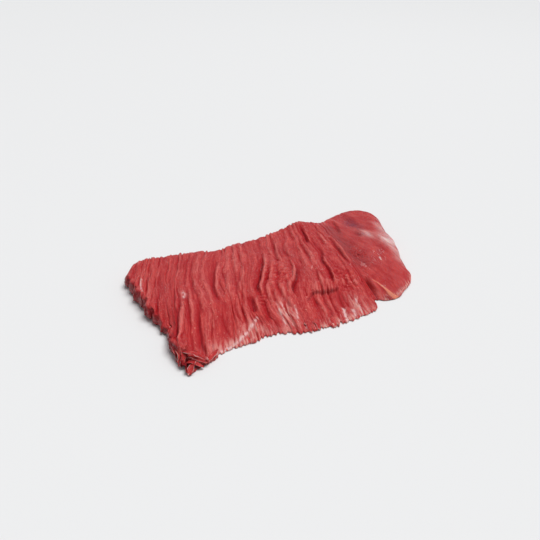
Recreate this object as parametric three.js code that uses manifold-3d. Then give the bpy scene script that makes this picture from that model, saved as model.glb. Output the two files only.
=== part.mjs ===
// A raw beef skirt steak: one slab of loose muscle, cut across at its left end and lying flat.
// Millimetres, +Z up, +X along the slab to its thin lobe, +Y to the far long edge. The slab is laid
// out round a point near its middle, and moved at the end, so that the origin is the centre of its
// box, at the height of its flat underside.
import * as THREE from "three";
import { mergeVertices } from "three/addons/utils/BufferGeometryUtils.js";
import Module from "manifold-3d";

const { smoothstep, lerp, clamp } = THREE.MathUtils;

// The muscle fibres run across the slab. Each row is one fibre: where it starts on the far edge, and
// where it ends, on the cut left end or on the near edge.
const FIBRES = [
  { back: [-88, 65], front: [-95.5, 56] },
  { back: [-82, 67], front: [-97, 42] },
  { back: [-74, 67], front: [-96, 14] },
  { back: [-65, 65.5], front: [-95, -16] },
  { back: [-54, 65], front: [-94, -44] },
  { back: [-48.5, 64.7], front: [-94.5, -62] },
  { back: [-45.5, 64.3], front: [-91, -67] },
  { back: [-42.5, 64], front: [-91.6, -73.5] },
  { back: [-37, 63.5], front: [-81, -68] },
  { back: [-20, 59.5], front: [-59, -59] },
  { back: [-5, 62.5], front: [-41, -56.5] },
  { back: [20, 65], front: [-18, -56] },
  { back: [40, 69], front: [1, -61.5] },
  { back: [57, 75.5], front: [21, -63] },
  { back: [68, 77.5], front: [41, -62] },
  { back: [80, 72.5], front: [61, -57] },
  { back: [88, 75], front: [67, -47] },
  { back: [97, 79.5], front: [75, -51] },
  { back: [110, 85], front: [86, -51] },
  { back: [127, 88], front: [95.5, -45] },
  { back: [139.5, 79.5], front: [107.5, -36.5] },
  { back: [146, 65], front: [115.5, -20] },
];
const CUT_X = -97; // where the cut end lies
const CORNER_ROW = 7; // the fibre that ends at the tip of the torn near corner
const NOTCH_ROW = 16; // the fibre that ends in the notch beside the lobe

// How far the fibres sway to the left, and how far along their length the sway is widest.
const SWAYS = [
  { row: 0, sway: 0, at: 0.4 },
  { row: 5, sway: 3, at: 0.4 },
  { row: 9, sway: 6, at: 0.3 },
  { row: 10, sway: 3.5, at: 0.62 },
  { row: 11, sway: 9.5, at: 0.66 },
  { row: 12, sway: 4, at: 0.74 },
  { row: 14, sway: -1, at: 0.5 },
  { row: 19, sway: -1, at: 0.3 },
  { row: 21, sway: 0, at: 0.62 },
];
const SWAY_REACH = 0.24; // of the fibre's length

// Bumps and dents of the lobe's right edge, and the dent in the cut end: how far along each lies,
// how far it reaches, and how far it goes to the right.
const EDGE_BUMPS = [
  { y: 44, reach: 8, size: -1.6 },
  { y: 20, reach: 9, size: 1.6 },
  { y: 4, reach: 6, size: 1.2 },
  { y: -26, reach: 8, size: 2.4 },
];
const EDGE_ROW = 18; // the bumps show past this fibre
const CUT_DENT = { y: -24, reach: 15, size: 2.4 };
const CUT_DENT_REACH = 14; // how far in from the cut end the dent still shows

// The clefts between the largest bundles of fibres: the row that each lies on, how far along the
// fibres it starts and stops, and how deep it is.
const CLEFTS = [
  { row: 1.1, from: 0.1, to: 0.95, depth: 1.3 },
  { row: 2.1, from: 0.0, to: 0.7, depth: 1.1 },
  { row: 3.3, from: 0.45, to: 0.97, depth: 1.9 },
  { row: 4.1, from: 0.2, to: 0.6, depth: 1.0 },
  { row: 4.9, from: 0.5, to: 0.8, depth: 1.7 },
  { row: 7.1, from: 0.36, to: 0.88, depth: 2.4 },
  { row: 8.2, from: 0.52, to: 1.05, depth: 2.6 },
  { row: 9.0, from: 0.1, to: 0.9, depth: 1.6 },
  { row: 10.0, from: 0.15, to: 0.85, depth: 1.7 },
  { row: 10.4, from: 0.6, to: 0.8, depth: 2.6 },
  { row: 11.0, from: 0.2, to: 0.8, depth: 2.8 },
  { row: 11.6, from: 0.0, to: 0.5, depth: 1.6 },
  { row: 12.1, from: 0.35, to: 0.76, depth: 3.2 },
  { row: 13.1, from: 0.08, to: 0.5, depth: 1.4 },
  { row: 13.9, from: 0.02, to: 0.78, depth: 3.0 },
  { row: 14.9, from: 0.25, to: 0.55, depth: 2.4 },
  { row: 16.0, from: 0.6, to: 1.2, depth: 3.5 },
  { row: 17.4, from: 0.0, to: 0.24, depth: 2.2 },
];
const BUNDLE_WIDTH = 4.9; // the bundles between clefts are about this wide
const BUNDLE_SPREAD = 0.7; // and their widths vary by this share
const CREASE_DEPTH = 0.8; // the creases between them are about this deep
const CREASE_REACH = 1.3; // and reach this far to each side
const BUNDLE_STEP = 0.5; // one bundle lies up to this much higher than the next
const SMOOTH_SHARE = 0.15; // the share of the creases that shows on the smooth lobe
const RAGGED = 1.3; // the bundles end up to this much short or long on the near edge
const CRAG = { height: 0.8, reach: 6 }; // lumps on the cut end, and how far in from it they go
const LUMP = 1.3; // how far the lumps stand out of the cut end

// Thickness of the slab, and the rounding of its edges.
const THICKNESS = { body: 13, cutEnd: 10.5, lobe: 9.5, nearEdge: 2.8 };
const CUT_END_REACH = 30; // the slab gets thinner over this distance from the cut end
const EQUATOR = 0.35; // the side stands out furthest at this share of the thickness
const ROUND = { back: 7, near: 2.4, cutEnd: 3, underneath: 3, farCorner: 7, lobeEnd: 9 };
const THINNEST = 1.4; // what is left under the deepest pit
const UNDERCUT = 0.5; // the underside is made this much too low, then cut off flat

// Relief on the top: rises and dips, long ridges, and a torn step.
const BARE_PATCH = { at: [30, -8], reach: [9, 12], height: -0.9 };
const SWELLS = [
  BARE_PATCH,
  { name: "lip on the far edge", at: [65, 70], reach: [7, 7], height: 1.8 },
  { name: "hollow in the lobe", at: [112, 62], reach: [8, 13], height: -2.6 },
  { name: "pit below the hollow", at: [106, 38], reach: [4, 4.5], height: -1.8 },
  { name: "swell of the lobe", at: [97, -18], reach: [13, 20], height: 1.8 },
  { name: "crumpled ridge", at: [30, -27], reach: [12, 4], height: 1.6 },
  { name: "flap beside the fat", at: [78, -48], reach: [4, 6], height: -2.4 },
];
const RIDGES = [
  { name: "strip of fat", back: [78, -28], front: [82.5, -53], width: 1.5, height: 0.9 },
  { name: "loose strand", back: [-68, 5], front: [-88, -36], width: 2.2, height: 1.2 },
  { name: "fold along the lobe", back: [130, 60], front: [110, -4], width: 5, height: 1.3 },
  { name: "strand beside the lobe", back: [77, 40], front: [72, 6], width: 2.2, height: 1.3 },
  { name: "strand on the flap", back: [74, -20], front: [71.5, -49], width: 1.8, height: 1.4 },
];
const STEP = { fromRow: 12.7, toRow: 13.62, from: 0.768, to: 0.768, sag: 0.008, drop: 2.6, fade: 0.16 };

// The near corner of the cut end is torn. The top of the slab ends in a lip there, and a lower layer
// goes on to the tip, in petals that curl up round a pit.
const CORNER = { lip: { back: [-97, -53], front: [-77, -69] }, drop: 4.5, run: 1.5 };
const PETALS = [
  { back: [-90, -61], front: [-80, -67], width: 1.2, height: 2.6 },
  { back: [-95, -60], front: [-93, -68], width: 1.3, height: 2.4 },
  { back: [-90.5, -68], front: [-91.5, -76], width: 1.5, height: 1.8 },
];
const PIT = { at: [-88.5, -65.5], reach: [3.2, 3], height: -2.6 };

// Facets.
const RINGS_IN_BUNDLE = [0, 0.24, 0.76];
const BACK_STOPS = [0.8, 2.6, 6];
const FRONT_STOPS = [0.6, 2, 4.5, 9];
const UNDER_STOPS = [1, 3];
const STOPS_BEFORE_STEP = 11;
const STOPS_AFTER_STEP = 3;
const STEP_RUN = 0.006; // of a fibre's length, to each side of the step
const SHORT_FIBRE = 40; // on fibres shorter than this, the stops move closer together
const END_GAP = 0.015; // of a bundle, left open at each end of the slab

// How much of the cut end's own shape a row has: 1 up to the torn corner, and 0 past it.
const cutEndShare = (row) => 1 - smoothstep(row, CORNER_ROW - 1, CORNER_ROW + 0.7);

// A repeatable run of numbers between 0 and 1.
function makeRandom(seed) {
  let state = seed;
  return () => {
    state = (state * 16807) % 2147483647;
    return state / 2147483647;
  };
}

function curveThrough(points) {
  const corners = points.map(([x, y]) => new THREE.Vector3(x, y, 0));
  return new THREE.CatmullRomCurve3(corners, false, "catmullrom", 0.5);
}

const lastRow = FIBRES.length - 1;
const backEdge = curveThrough(FIBRES.map((fibre) => fibre.back));
const frontEdge = curveThrough(FIBRES.map((fibre) => fibre.front));

function fibreAt(row) {
  const back = backEdge.getPoint(row / lastRow);
  const front = frontEdge.getPoint(row / lastRow);
  const length = back.distanceTo(front);
  // The fibres meet the cut end at a slant, so a distance along them is this many times as long.
  const slant = lerp(1, length / Math.max(back.x - front.x, 1), cutEndShare(row));
  return { back, front, length, slant };
}

// The distance along the slab at which each row lies, measured between the middles of the fibres.
const rowPlaces = [0];
for (let i = 1; i <= lastRow; i++) {
  const [a, b] = [FIBRES[i - 1], FIBRES[i]];
  const across = (k) => (b.back[k] + b.front[k] - a.back[k] - a.front[k]) / 2;
  rowPlaces.push(rowPlaces[i - 1] + Math.hypot(across(0), across(1)));
}
const slabLength = rowPlaces[lastRow];

function placeOfRow(row) {
  const i = Math.min(Math.floor(row), lastRow - 1);
  return lerp(rowPlaces[i], rowPlaces[i + 1], row - i);
}

function rowOfPlace(place) {
  let i = 0;
  while (i < lastRow - 1 && rowPlaces[i + 1] < place) i++;
  return i + (place - rowPlaces[i]) / (rowPlaces[i + 1] - rowPlaces[i]);
}

// Creases are the borders of the bundles. Every cleft is one, and more divide the space between clefts.
function layCreases() {
  const random = makeRandom(20211);
  const fixed = [
    { place: 0 },
    ...CLEFTS.map((cleft) => ({ place: placeOfRow(cleft.row), cleft })),
    { place: slabLength },
  ];
  const creases = [];
  for (let i = 0; i + 1 < fixed.length; i++) {
    const gap = fixed[i + 1].place - fixed[i].place;
    const count = Math.max(1, Math.round(gap / BUNDLE_WIDTH));
    for (let k = 0; k < count; k++) {
      const shift = k === 0 ? 0 : (random() - 0.5) * BUNDLE_SPREAD;
      creases.push({
        place: fixed[i].place + (gap * (k + shift)) / count,
        cleft: k === 0 ? fixed[i].cleft : undefined,
        strength: lerp(0.3, 1.7, random()),
        phase: random(),
        beat: lerp(0.8, 1.9, random()),
        level: random() * 2 - 1,
      });
    }
  }
  creases.push({ place: slabLength, strength: 0, phase: 0, beat: 1, level: 0 });
  return creases;
}

const creases = layCreases();
const bundleCount = creases.length - 1;

function wave(crease, along, speed) {
  return Math.sin(2 * Math.PI * (crease.phase + along * crease.beat * speed));
}

// Where crease i runs, as a distance along the slab. Creases wander, but never cross.
function creasePlace(i, along) {
  const crease = creases[i];
  if (i === 0 || i === bundleCount) return crease.place;
  const room = Math.min(crease.place - creases[i - 1].place, creases[i + 1].place - crease.place);
  const wander = crease.cleft ? 0.12 : 0.24;
  return crease.place + room * wander * (wave(crease, along, 1) + 0.4 * wave(crease, along, 2.7));
}

function creaseDepth(i, along) {
  const crease = creases[i];
  const shallow = CREASE_DEPTH * crease.strength * (0.55 + 0.45 * wave(crease, along, 1.6));
  if (!crease.cleft) return shallow;
  const { from, to, depth } = crease.cleft;
  const open = smoothstep(along, from, from + 0.12) * (1 - smoothstep(along, to - 0.12, to));
  return Math.max(shallow, depth * open);
}

// How much of a crease's depth is left at a distance from it.
function creaseShare(distance) {
  return Math.exp(-((distance / CREASE_REACH) ** 1.5));
}

function swayOf(row, along) {
  let i = 0;
  while (i < SWAYS.length - 2 && SWAYS[i + 1].row < row) i++;
  const [a, b] = [SWAYS[i], SWAYS[i + 1]];
  const share = smoothstep(row, a.row, b.row);
  const offset = (along - lerp(a.at, b.at, share)) / SWAY_REACH;
  const ends = Math.min(1, 6 * along, 6 * (1 - along));
  return -lerp(a.sway, b.sway, share) * Math.exp(-offset * offset) * ends;
}

// A quarter of an ellipse: 0 at the edge, and 1 from the reach inwards.
function rounded(distance, reach) {
  const x = clamp(distance / reach, 0, 1);
  return Math.sqrt(1 - (1 - x) ** 2);
}

function bump(y, { y: middle, reach, size }) {
  return size * Math.exp(-(((y - middle) / reach) ** 2));
}

function bell(x, y, { at, reach }) {
  return Math.exp(-(((x - at[0]) / reach[0]) ** 2) - ((y - at[1]) / reach[1]) ** 2);
}

function ridge(x, y, { back, front, width, height }) {
  const span = [front[0] - back[0], front[1] - back[1]];
  const long = Math.hypot(...span);
  const along = ((x - back[0]) * span[0] + (y - back[1]) * span[1]) / long ** 2;
  const aside = ((x - back[0]) * span[1] - (y - back[1]) * span[0]) / long;
  const ends = smoothstep(along, -0.05, 0.15) * (1 - smoothstep(along, 0.85, 1.1));
  return height * Math.exp(-((aside / width) ** 2)) * ends;
}

// Where the torn step crosses a fibre, as a share of the fibre's length.
function stepShare(row) {
  const share = clamp((row - STEP.fromRow) / (STEP.toRow - STEP.fromRow), 0, 1);
  return lerp(STEP.from, STEP.to, share) + STEP.sag * Math.sin(Math.PI * share);
}

// The near side of the step lies lower, and rises again towards the near edge.
function stepDrop(row, along) {
  const past = along - stepShare(row);
  const down = smoothstep(past, -STEP_RUN, STEP_RUN) * (1 - smoothstep(past, 0, STEP.fade));
  const sides = smoothstep(row, STEP.fromRow - 0.4, STEP.fromRow + 0.3);
  return STEP.drop * down * sides * (1 - smoothstep(row, STEP.toRow - 0.1, STEP.toRow + 0.2));
}

// What the torn corner adds to the height, which is mostly a drop past the lip.
function tornCorner(x, y) {
  const { back, front } = CORNER.lip;
  const span = [front[0] - back[0], front[1] - back[1]];
  const past = ((x - back[0]) * span[1] - (y - back[1]) * span[0]) / Math.hypot(...span);
  let height = PIT.height * bell(x, y, PIT);
  for (const petal of PETALS) height += ridge(x, y, petal);
  return (height - CORNER.drop) * smoothstep(past, -CORNER.run, CORNER.run);
}

// The cut end is lumpy and craggy.
function lumpAt(y) {
  return 0.6 * Math.sin(y / 1.9) + 0.5 * Math.sin(y / 3.7 + 1) + 0.4 * Math.sin(y / 1.1 + 3);
}

function cragAt(x, y) {
  return CRAG.height * (Math.sin(0.9 * y + 1.3 * x) + Math.sin(0.53 * y - 0.8 * x + 2));
}

function thicknessAt(x, y, row, along) {
  const lobe = smoothstep(row, NOTCH_ROW - 1.2, NOTCH_ROW + 0.8);
  const cutEnd = 1 - smoothstep(x, CUT_X, CUT_X + CUT_END_REACH);
  const full = lerp(lerp(THICKNESS.body, THICKNESS.lobe, lobe), THICKNESS.cutEnd, cutEnd);
  const nearShare = smoothstep(along, 0.55, 1) * (1 - cutEndShare(row));
  const swell = 0.7 * Math.sin(x / 19 + y / 31) * Math.cos(y / 23);
  return lerp(full + swell, THICKNESS.nearEdge, nearShare);
}

function reliefAt(x, y, row, along) {
  let height = tornCorner(x, y) - stepDrop(row, along);
  for (const swell of SWELLS) height += swell.height * bell(x, y, swell);
  for (const line of RIDGES) height += ridge(x, y, line);
  return height;
}

// How much of the creases shows: they fade out on the smooth lobe.
function roughness(row) {
  return lerp(1, SMOOTH_SHARE, smoothstep(row, NOTCH_ROW - 0.5, NOTCH_ROW + 0.5));
}

// The stops round one section: from the far edge over the top to the near edge, and back underneath.
// A stop is a distance from one of the edges, or a share of what lies before or after the step.
const inner = (count) => Array.from({ length: count }, (_, k) => (k + 0.5) / count);
const topStops = [
  { fromBack: 0 },
  ...BACK_STOPS.map((distance) => ({ fromBack: distance })),
  ...inner(STOPS_BEFORE_STEP).map((share) => ({ beforeStep: share })),
  { beforeStep: 1 },
  { afterStep: 0 },
  ...inner(STOPS_AFTER_STEP).map((share) => ({ afterStep: share })),
  ...FRONT_STOPS.toReversed().map((distance) => ({ fromFront: distance })),
  { fromFront: 0 },
];
const underStops = [
  ...UNDER_STOPS.map((distance) => ({ fromFront: distance })),
  { beforeStep: 0.6 },
  ...UNDER_STOPS.toReversed().map((distance) => ({ fromBack: distance })),
];

function alongAt(stop, row, { length, slant }) {
  const scale = Math.max(length, SHORT_FIBRE);
  const frontScale = Math.max(length / slant, SHORT_FIBRE * 0.6);
  if (stop.fromBack !== undefined) return stop.fromBack / scale;
  if (stop.fromFront !== undefined) return 1 - stop.fromFront / frontScale;
  const step = stepShare(row);
  if (stop.beforeStep !== undefined) return lerp(BACK_STOPS.at(-1) / scale, step - STEP_RUN, stop.beforeStep);
  const nearStops = 1 - FRONT_STOPS.at(-1) / frontScale;
  return lerp(Math.min(step + STEP_RUN, nearStops - 0.01), nearStops, stop.afterStep);
}

// One point of the surface. bundle is the number of a crease plus a share of the bundle after it.
function surfacePoint(bundle, stop, isUnder) {
  const i = Math.min(Math.floor(bundle), bundleCount - 1);
  const share = bundle - i;
  const rowBefore = rowOfPlace(lerp(creases[i].place, creases[i + 1].place, share));
  const along = alongAt(stop, rowBefore, fibreAt(rowBefore));

  const left = creasePlace(i, along);
  const right = creasePlace(i + 1, along);
  const place = lerp(left, right, share);
  const row = rowOfPlace(place);
  const { back, front, length, slant } = fibreAt(row);
  const isCut = cutEndShare(row);
  const crease = (1 - 0.7 * isCut * smoothstep(along, 0.86, 1)) * Math.max(
    creaseDepth(i, along) * creaseShare(place - left),
    creaseDepth(i + 1, along) * creaseShare(right - place),
  );

  // The bundles end at different lengths, so both long edges are ragged.
  const swell = Math.sin(Math.PI * share);
  const ragged = (RAGGED * (creases[i].level + 0.8 * swell) - 0.8 * crease) * roughness(row);
  const shift = ragged * (smoothstep(along, 0.6, 1) - 0.4 * (1 - smoothstep(along, 0, 0.4)));
  const lump = isCut * LUMP * lumpAt(lerp(back.y, front.y, along)) * smoothstep(along, 0.7, 1);
  const fromBack = along * length;
  const fromFront = ((1 - along) * length) / slant;
  const y = lerp(back.y, front.y, along + shift / length);
  let x = lerp(back.x, front.x, along + shift / length) + swayOf(row, along) - lump;
  for (const edge of EDGE_BUMPS) x += bump(y, edge) * smoothstep(row, EDGE_ROW, lastRow);
  x += isCut * bump(y, CUT_DENT) * (1 - smoothstep(fromFront, 0, CUT_DENT_REACH));

  const thick = thicknessAt(x, y, row, along);
  const equator = EQUATOR * thick;
  if (isUnder) {
    const fromEnd = Math.min(place, slabLength - place);
    const flat = [fromBack, fromFront, fromEnd].reduce((all, d) => all * rounded(d, ROUND.underneath), 1);
    return new THREE.Vector3(x, y, equator - (equator + UNDERCUT) * flat);
  }
  const near = lerp(ROUND.near, ROUND.cutEnd, isCut);
  const sides = rounded(fromBack, ROUND.back) * rounded(fromFront, near);
  const ends = rounded(place, ROUND.farCorner) * rounded(slabLength - place, ROUND.lobeEnd);
  const crag = isCut * cragAt(x, y) * (1 - smoothstep(fromFront, 1, CRAG.reach));
  const bundles = (BUNDLE_STEP * creases[i].level * swell - crease) * roughness(row);
  const relief = reliefAt(x, y, row, along) + crag + bundles * (1 - 0.7 * bell(x, y, BARE_PATCH));
  const rise = Math.max(thick - equator + relief, THINNEST - equator);
  return new THREE.Vector3(x, y, equator + rise * sides * ends);
}

// The slab is a closed cylinder: its rings are the fibres, and its sides the stops round a section.
function slabGeometry() {
  const stops = [...topStops, ...underStops];
  const rings = [];
  for (let i = 0; i < bundleCount; i++) {
    rings.push(...RINGS_IN_BUNDLE.map((share) => i + share));
  }
  rings[0] = END_GAP;
  rings.push(bundleCount - END_GAP);

  const geometry = new THREE.CylinderGeometry(1, 1, 1, stops.length, rings.length - 1);
  const position = geometry.getAttribute("position");
  const capCentre = (bundle) => {
    const top = surfacePoint(bundle, { beforeStep: 0.6 }, false);
    return top.lerp(surfacePoint(bundle, { beforeStep: 0.6 }, true), 0.5);
  };
  for (let v = 0; v < position.count; v++) {
    const p = new THREE.Vector3().fromBufferAttribute(position, v);
    const ring = Math.round((0.5 - p.y) * (rings.length - 1));
    const turn = (Math.atan2(-p.x, p.z) / (2 * Math.PI) + 1) % 1;
    const side = Math.round(turn * stops.length) % stops.length;
    const isUnder = side >= topStops.length;
    const isCap = Math.hypot(p.x, p.z) < 0.5;
    const at = isCap ? capCentre(rings[ring]) : surfacePoint(rings[ring], stops[side], isUnder);
    position.setXYZ(v, ...at);
  }
  geometry.deleteAttribute("normal");
  geometry.deleteAttribute("uv");
  return mergeVertices(geometry, 1e-3);
}

const wasm = await Module();
wasm.setup();

function toSolid(geometry) {
  const vertProperties = new Float32Array(geometry.getAttribute("position").array);
  const triVerts = new Uint32Array(geometry.index.array);
  return new wasm.Manifold(new wasm.Mesh({ numProp: 3, vertProperties, triVerts }));
}

function toGeometry(solid) {
  const { vertProperties, triVerts } = solid.getMesh();
  const geometry = new THREE.BufferGeometry();
  geometry.setAttribute("position", new THREE.BufferAttribute(vertProperties, 3));
  geometry.setIndex(new THREE.BufferAttribute(triVerts, 1));
  return geometry;
}

// Everything below the surface that the slab lies on is cut off, which leaves its underside flat.
function cutFlat(solid) {
  const depth = 20;
  const width = 400;
  const box = new THREE.BoxGeometry(width, width, depth).translate(0, 0, -depth / 2);
  box.deleteAttribute("normal");
  box.deleteAttribute("uv");
  return solid.subtract(toSolid(mergeVertices(box, 1e-3)));
}

const slab = toGeometry(cutFlat(toSolid(slabGeometry())));
slab.computeBoundingBox();
const centre = slab.boundingBox.getCenter(new THREE.Vector3());
slab.translate(-centre.x, -centre.y, 0);

const meat = new THREE.MeshStandardMaterial({ color: 0xb24746, roughness: 0.42, metalness: 0 });
const steak = new THREE.Mesh(slab, meat);
steak.name = "skirt_steak";

const group = new THREE.Group();
group.add(steak);

export default group;
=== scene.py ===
"""A raw beef skirt steak: a slab of loose muscle with a smooth lobe, laid flat on a pale floor."""

import functools
import itertools
import math
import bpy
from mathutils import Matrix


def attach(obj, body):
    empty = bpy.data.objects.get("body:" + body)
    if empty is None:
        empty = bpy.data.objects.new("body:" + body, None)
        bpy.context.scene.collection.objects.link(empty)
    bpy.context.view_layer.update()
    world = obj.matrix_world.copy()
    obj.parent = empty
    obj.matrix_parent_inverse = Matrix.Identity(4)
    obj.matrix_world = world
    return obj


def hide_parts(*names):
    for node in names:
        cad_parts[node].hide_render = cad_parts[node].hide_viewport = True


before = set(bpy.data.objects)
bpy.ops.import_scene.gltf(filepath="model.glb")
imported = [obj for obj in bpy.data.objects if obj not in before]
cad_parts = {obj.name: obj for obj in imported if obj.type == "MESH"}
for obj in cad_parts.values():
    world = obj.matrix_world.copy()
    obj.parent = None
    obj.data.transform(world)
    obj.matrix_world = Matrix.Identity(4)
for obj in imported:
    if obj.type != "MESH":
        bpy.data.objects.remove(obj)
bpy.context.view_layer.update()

from types import SimpleNamespace

import bmesh
import bpy
import numpy as np
from bpy.props import FloatProperty, FloatVectorProperty, PointerProperty
from mathutils import Matrix, Vector

bl_info = {
    "name": "Raw skirt steak",
    "version": (1, 0, 0),
    "blender": (4, 5, 0),
    "location": "3D View > Sidebar > Steak",
    "description": "Makes a raw beef skirt steak, its torn leaves and a plain stage",
    "category": "Object",
}

NODE = "skirt_steak"
MM = 0.001

# The layout, in millimetres, is much the same as the one that the CAD solid was made from. Each row
# is one muscle fibre: where it starts on the far edge, and where it ends on the cut end or on the
# near edge.
FIBRES = np.array([
    [(-88, 65), (-95.5, 56)],
    [(-82, 67), (-97, 42)],
    [(-74, 67), (-96, 14)],
    [(-65, 65.5), (-95, -16)],
    [(-54, 65), (-94, -44)],
    [(-48.5, 64.7), (-94.5, -62)],
    [(-45.5, 64.3), (-91, -67)],
    [(-42.5, 64), (-91.6, -73.5)],
    [(-37, 63.5), (-81, -68)],
    [(-20, 59.5), (-59, -59)],
    [(-5, 62.5), (-41, -56.5)],
    [(20, 65), (-18, -56)],
    [(40, 69), (1, -61.5)],
    [(57, 75.5), (21, -63)],
    [(68, 77.5), (41, -62)],
    [(80, 72.5), (61, -57)],
    [(88, 75), (67, -47)],
    [(97, 79.5), (75, -51)],
    [(110, 85), (86, -51)],
    [(127, 88), (95.5, -45)],
    [(139.5, 79.5), (107.5, -36.5)],
    [(146, 65), (115.5, -20)],
], float)
LAST_ROW = len(FIBRES) - 1
CUT_X = -97.0
CORNER_ROW = 7
NOTCH_ROW = 16

# Row, how far the fibres sway to the left there, and how far along their length.
SWAYS = np.array([
    (0, 0, 0.4), (5, 3, 0.4), (9, 6, 0.3), (10, 3.5, 0.62), (11, 9.5, 0.66),
    (12, 4, 0.74), (14, -1, 0.5), (19, -1, 0.3), (21, 0, 0.62),
])
SWAY_REACH = 0.24

# The clefts between the largest bundles: row, where each starts and stops, and its depth.
CLEFTS = [
    (1.1, 0.1, 0.95, 1.3), (2.1, 0.0, 0.7, 1.1), (3.3, 0.45, 0.97, 1.9), (4.1, 0.2, 0.6, 1.0),
    (4.9, 0.5, 0.8, 1.7), (7.1, 0.36, 0.88, 2.4), (8.2, 0.52, 1.05, 2.6), (9.0, 0.1, 0.9, 1.6),
    (10.0, 0.15, 0.85, 1.7), (10.4, 0.6, 0.8, 2.6), (11.0, 0.2, 0.8, 2.8), (11.6, 0.0, 0.5, 1.6),
    (12.1, 0.35, 0.76, 3.2), (13.1, 0.08, 0.5, 1.4), (13.9, 0.02, 0.78, 3.0), (14.9, 0.25, 0.55, 2.4),
    (16.0, 0.6, 1.2, 3.5), (17.4, 0.0, 0.24, 2.2),
]
CLEFT_SHARE = 0.35  # of a cleft's depth is left, because a torn gap lies in most of them
CLEFT_FADE = 0.12
BUNDLE_WIDTH = 4.9
BUNDLE_SPREAD = 0.7  # a bundle's border shifts by up to half this share of its width
STRENGTHS, BEATS = (0.3, 1.7), (0.8, 1.9)  # of a border's crease, and of its waves
WANDER, CLEFT_WANDER = 0.24, 0.12  # how far a border wanders, as a share of the room beside it
BUNDLE_STEP = 0.5  # one bundle lies up to this much higher than the next
SMOOTH_SHARE = 0.15  # the share of the roughness that is left on the smooth lobe
RAGGED = 1.3  # the bundles end about this much short or long
TIP_LENGTH = 2.2  # and their strands end in tips of about this length
LUMP = 1.3  # about how far the lumps stand out of the cut end
STRAND_WIDTH, STRAND_LENGTH = 2, 22
KINK_HEIGHT, KINKED_FROM, KINKED_TO = 0.3, 90, 120  # small kinks, from one place to another
WAVE_FROM, WAVE_TO = 4, 20  # how far from the edges the bundles start to wave, and wave fully

BODY_THICK, CUT_END_THICK, LOBE_THICK, NEAR_EDGE_THICK = 13, 10.5, 9.5, 1.8
CUT_END_REACH = 30
EQUATOR = 0.35  # the side stands out furthest at this share of the thickness
ROUND_BACK, ROUND_NEAR, ROUND_CUT_END, ROUND_UNDER = 7, 1.6, 2.4, 3
ROUND_FAR_CORNER, ROUND_LOBE_END = 7, 9
THINNEST = 1.1

# The middle of the cut end is thin and lies further in: where it is, its reach along the end, the
# share of the thickness that it lacks, and how far it lies in. Its top leans out over its foot.
CUT_DENT_Y, CUT_DENT_WIDTH = -24, 14
THINNED, THINNED_REACH = 0.38, 22
CUT_DENT, CUT_MOVED, CUT_DENT_REACH = 4.0, 0.3, 14
CUT_LEAN, CUT_LEAN_REACH = 1.8, 9
CRAG_FROM, CRAG_TO = 0.8, 3.4  # the crags fade out over this distance from the cut end
CRAG, CRAG_WIDTH, CRAG_HEIGHT = 1.2, 5.4, 4  # how far they stand out, and the size of one

# Rises and dips: where, their reach, and their height.
BARE_PATCH = ((30, -8), (9, 12), -0.9)
FAR_LIP = ((65, 70), (7, 7), 1.8)
HOLLOW = ((112, 62), (8, 13), -2.6)
PIT_BELOW_HOLLOW = ((106, 38), (4, 4.5), -1.8)
LOBE_SWELL = ((97, -18), (13, 20), 1.8)
CRUMPLED_RIDGE = ((36, -23), (10, 4.5), 1.7)
FLAP_BY_FAT = ((78, -48), (4, 6), -2.4)
SWELLS = [BARE_PATCH, FAR_LIP, HOLLOW, PIT_BELOW_HOLLOW, LOBE_SWELL, CRUMPLED_RIDGE, FLAP_BY_FAT]

# Ridges: from, to, half their width, and their height.
FAT_STRIP = ((78, -28), (82.5, -53), 1.5, 0.9)
LOOSE_STRAND = ((-68, 5), (-88, -36), 2.2, 1.2)
LOBE_FOLD = ((130, 60), (110, -4), 5, 1.3)
LOBE_STRAND = ((77, 40), (72, 6), 2.2, 1.3)
FLAP_STRAND = ((76.5, -20), (74.5, -49), 1.6, 1.5)
RIDGES = [FAT_STRIP, LOOSE_STRAND, LOBE_FOLD, LOBE_STRAND, FLAP_STRAND]

# The torn step: the rows that it spans, where it crosses their fibres, its height, and how much
# further along the fibres the slab is whole again.
STEP_FROM_ROW, STEP_TO_ROW = 12.7, 13.62
STEP_FROM, STEP_TO, STEP_SAG, STEP_DROP, STEP_FADE = 0.750, 0.770, -0.003, 1.7, 0.16
STEP_RUN = 0.006

# The top of the torn corner ends in a lip, and a lower layer with petals round a pit goes on.
CORNER_LIP = ((-97, -53), (-77, -69))
CORNER_DROP, CORNER_RUN = 6, 1.2
PETALS = [
    ((-90, -61), (-80, -67), 1.2, 2.6),
    ((-95, -60), (-93, -68), 1.3, 2.4),
    ((-90.5, -68), (-91.5, -76), 1.5, 1.8),
]
PIT = ((-88.5, -65.5), (3.2, 3), -2.6)


def lerp(a, b, share):
    return a + (b - a) * share


def smooth(x, low, high):
    share = np.clip((x - low) / (high - low), 0, 1)
    return share * share * (3 - 2 * share)


def curve_through(points, t):
    """The points of a Catmull-Rom curve through the given ones, where t counts them."""
    ends = np.vstack([2 * points[0] - points[1], points, 2 * points[-1] - points[-2]])
    i = np.clip(np.floor(t).astype(int), 0, len(points) - 2)
    w = (t - i)[..., None]
    p0, p1, p2, p3 = ends[i], ends[i + 1], ends[i + 2], ends[i + 3]
    m1 = (p2 - p0) / 2
    m2 = (p3 - p1) / 2
    return p1 + m1 * w + (3 * p2 - 3 * p1 - 2 * m1 - m2) * w**2 + (2 * p1 - 2 * p2 + m1 + m2) * w**3


MIDDLES = FIBRES.mean(axis=1)
ROW_PLACES = np.concatenate([[0], np.cumsum(np.hypot(*np.diff(MIDDLES, axis=0).T))])
SLAB_LENGTH = ROW_PLACES[-1]

# The part's origin is the middle of the slab's box, which lies here in the layout.
CENTRE = np.array([23.650, 7.597, 0])

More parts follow.
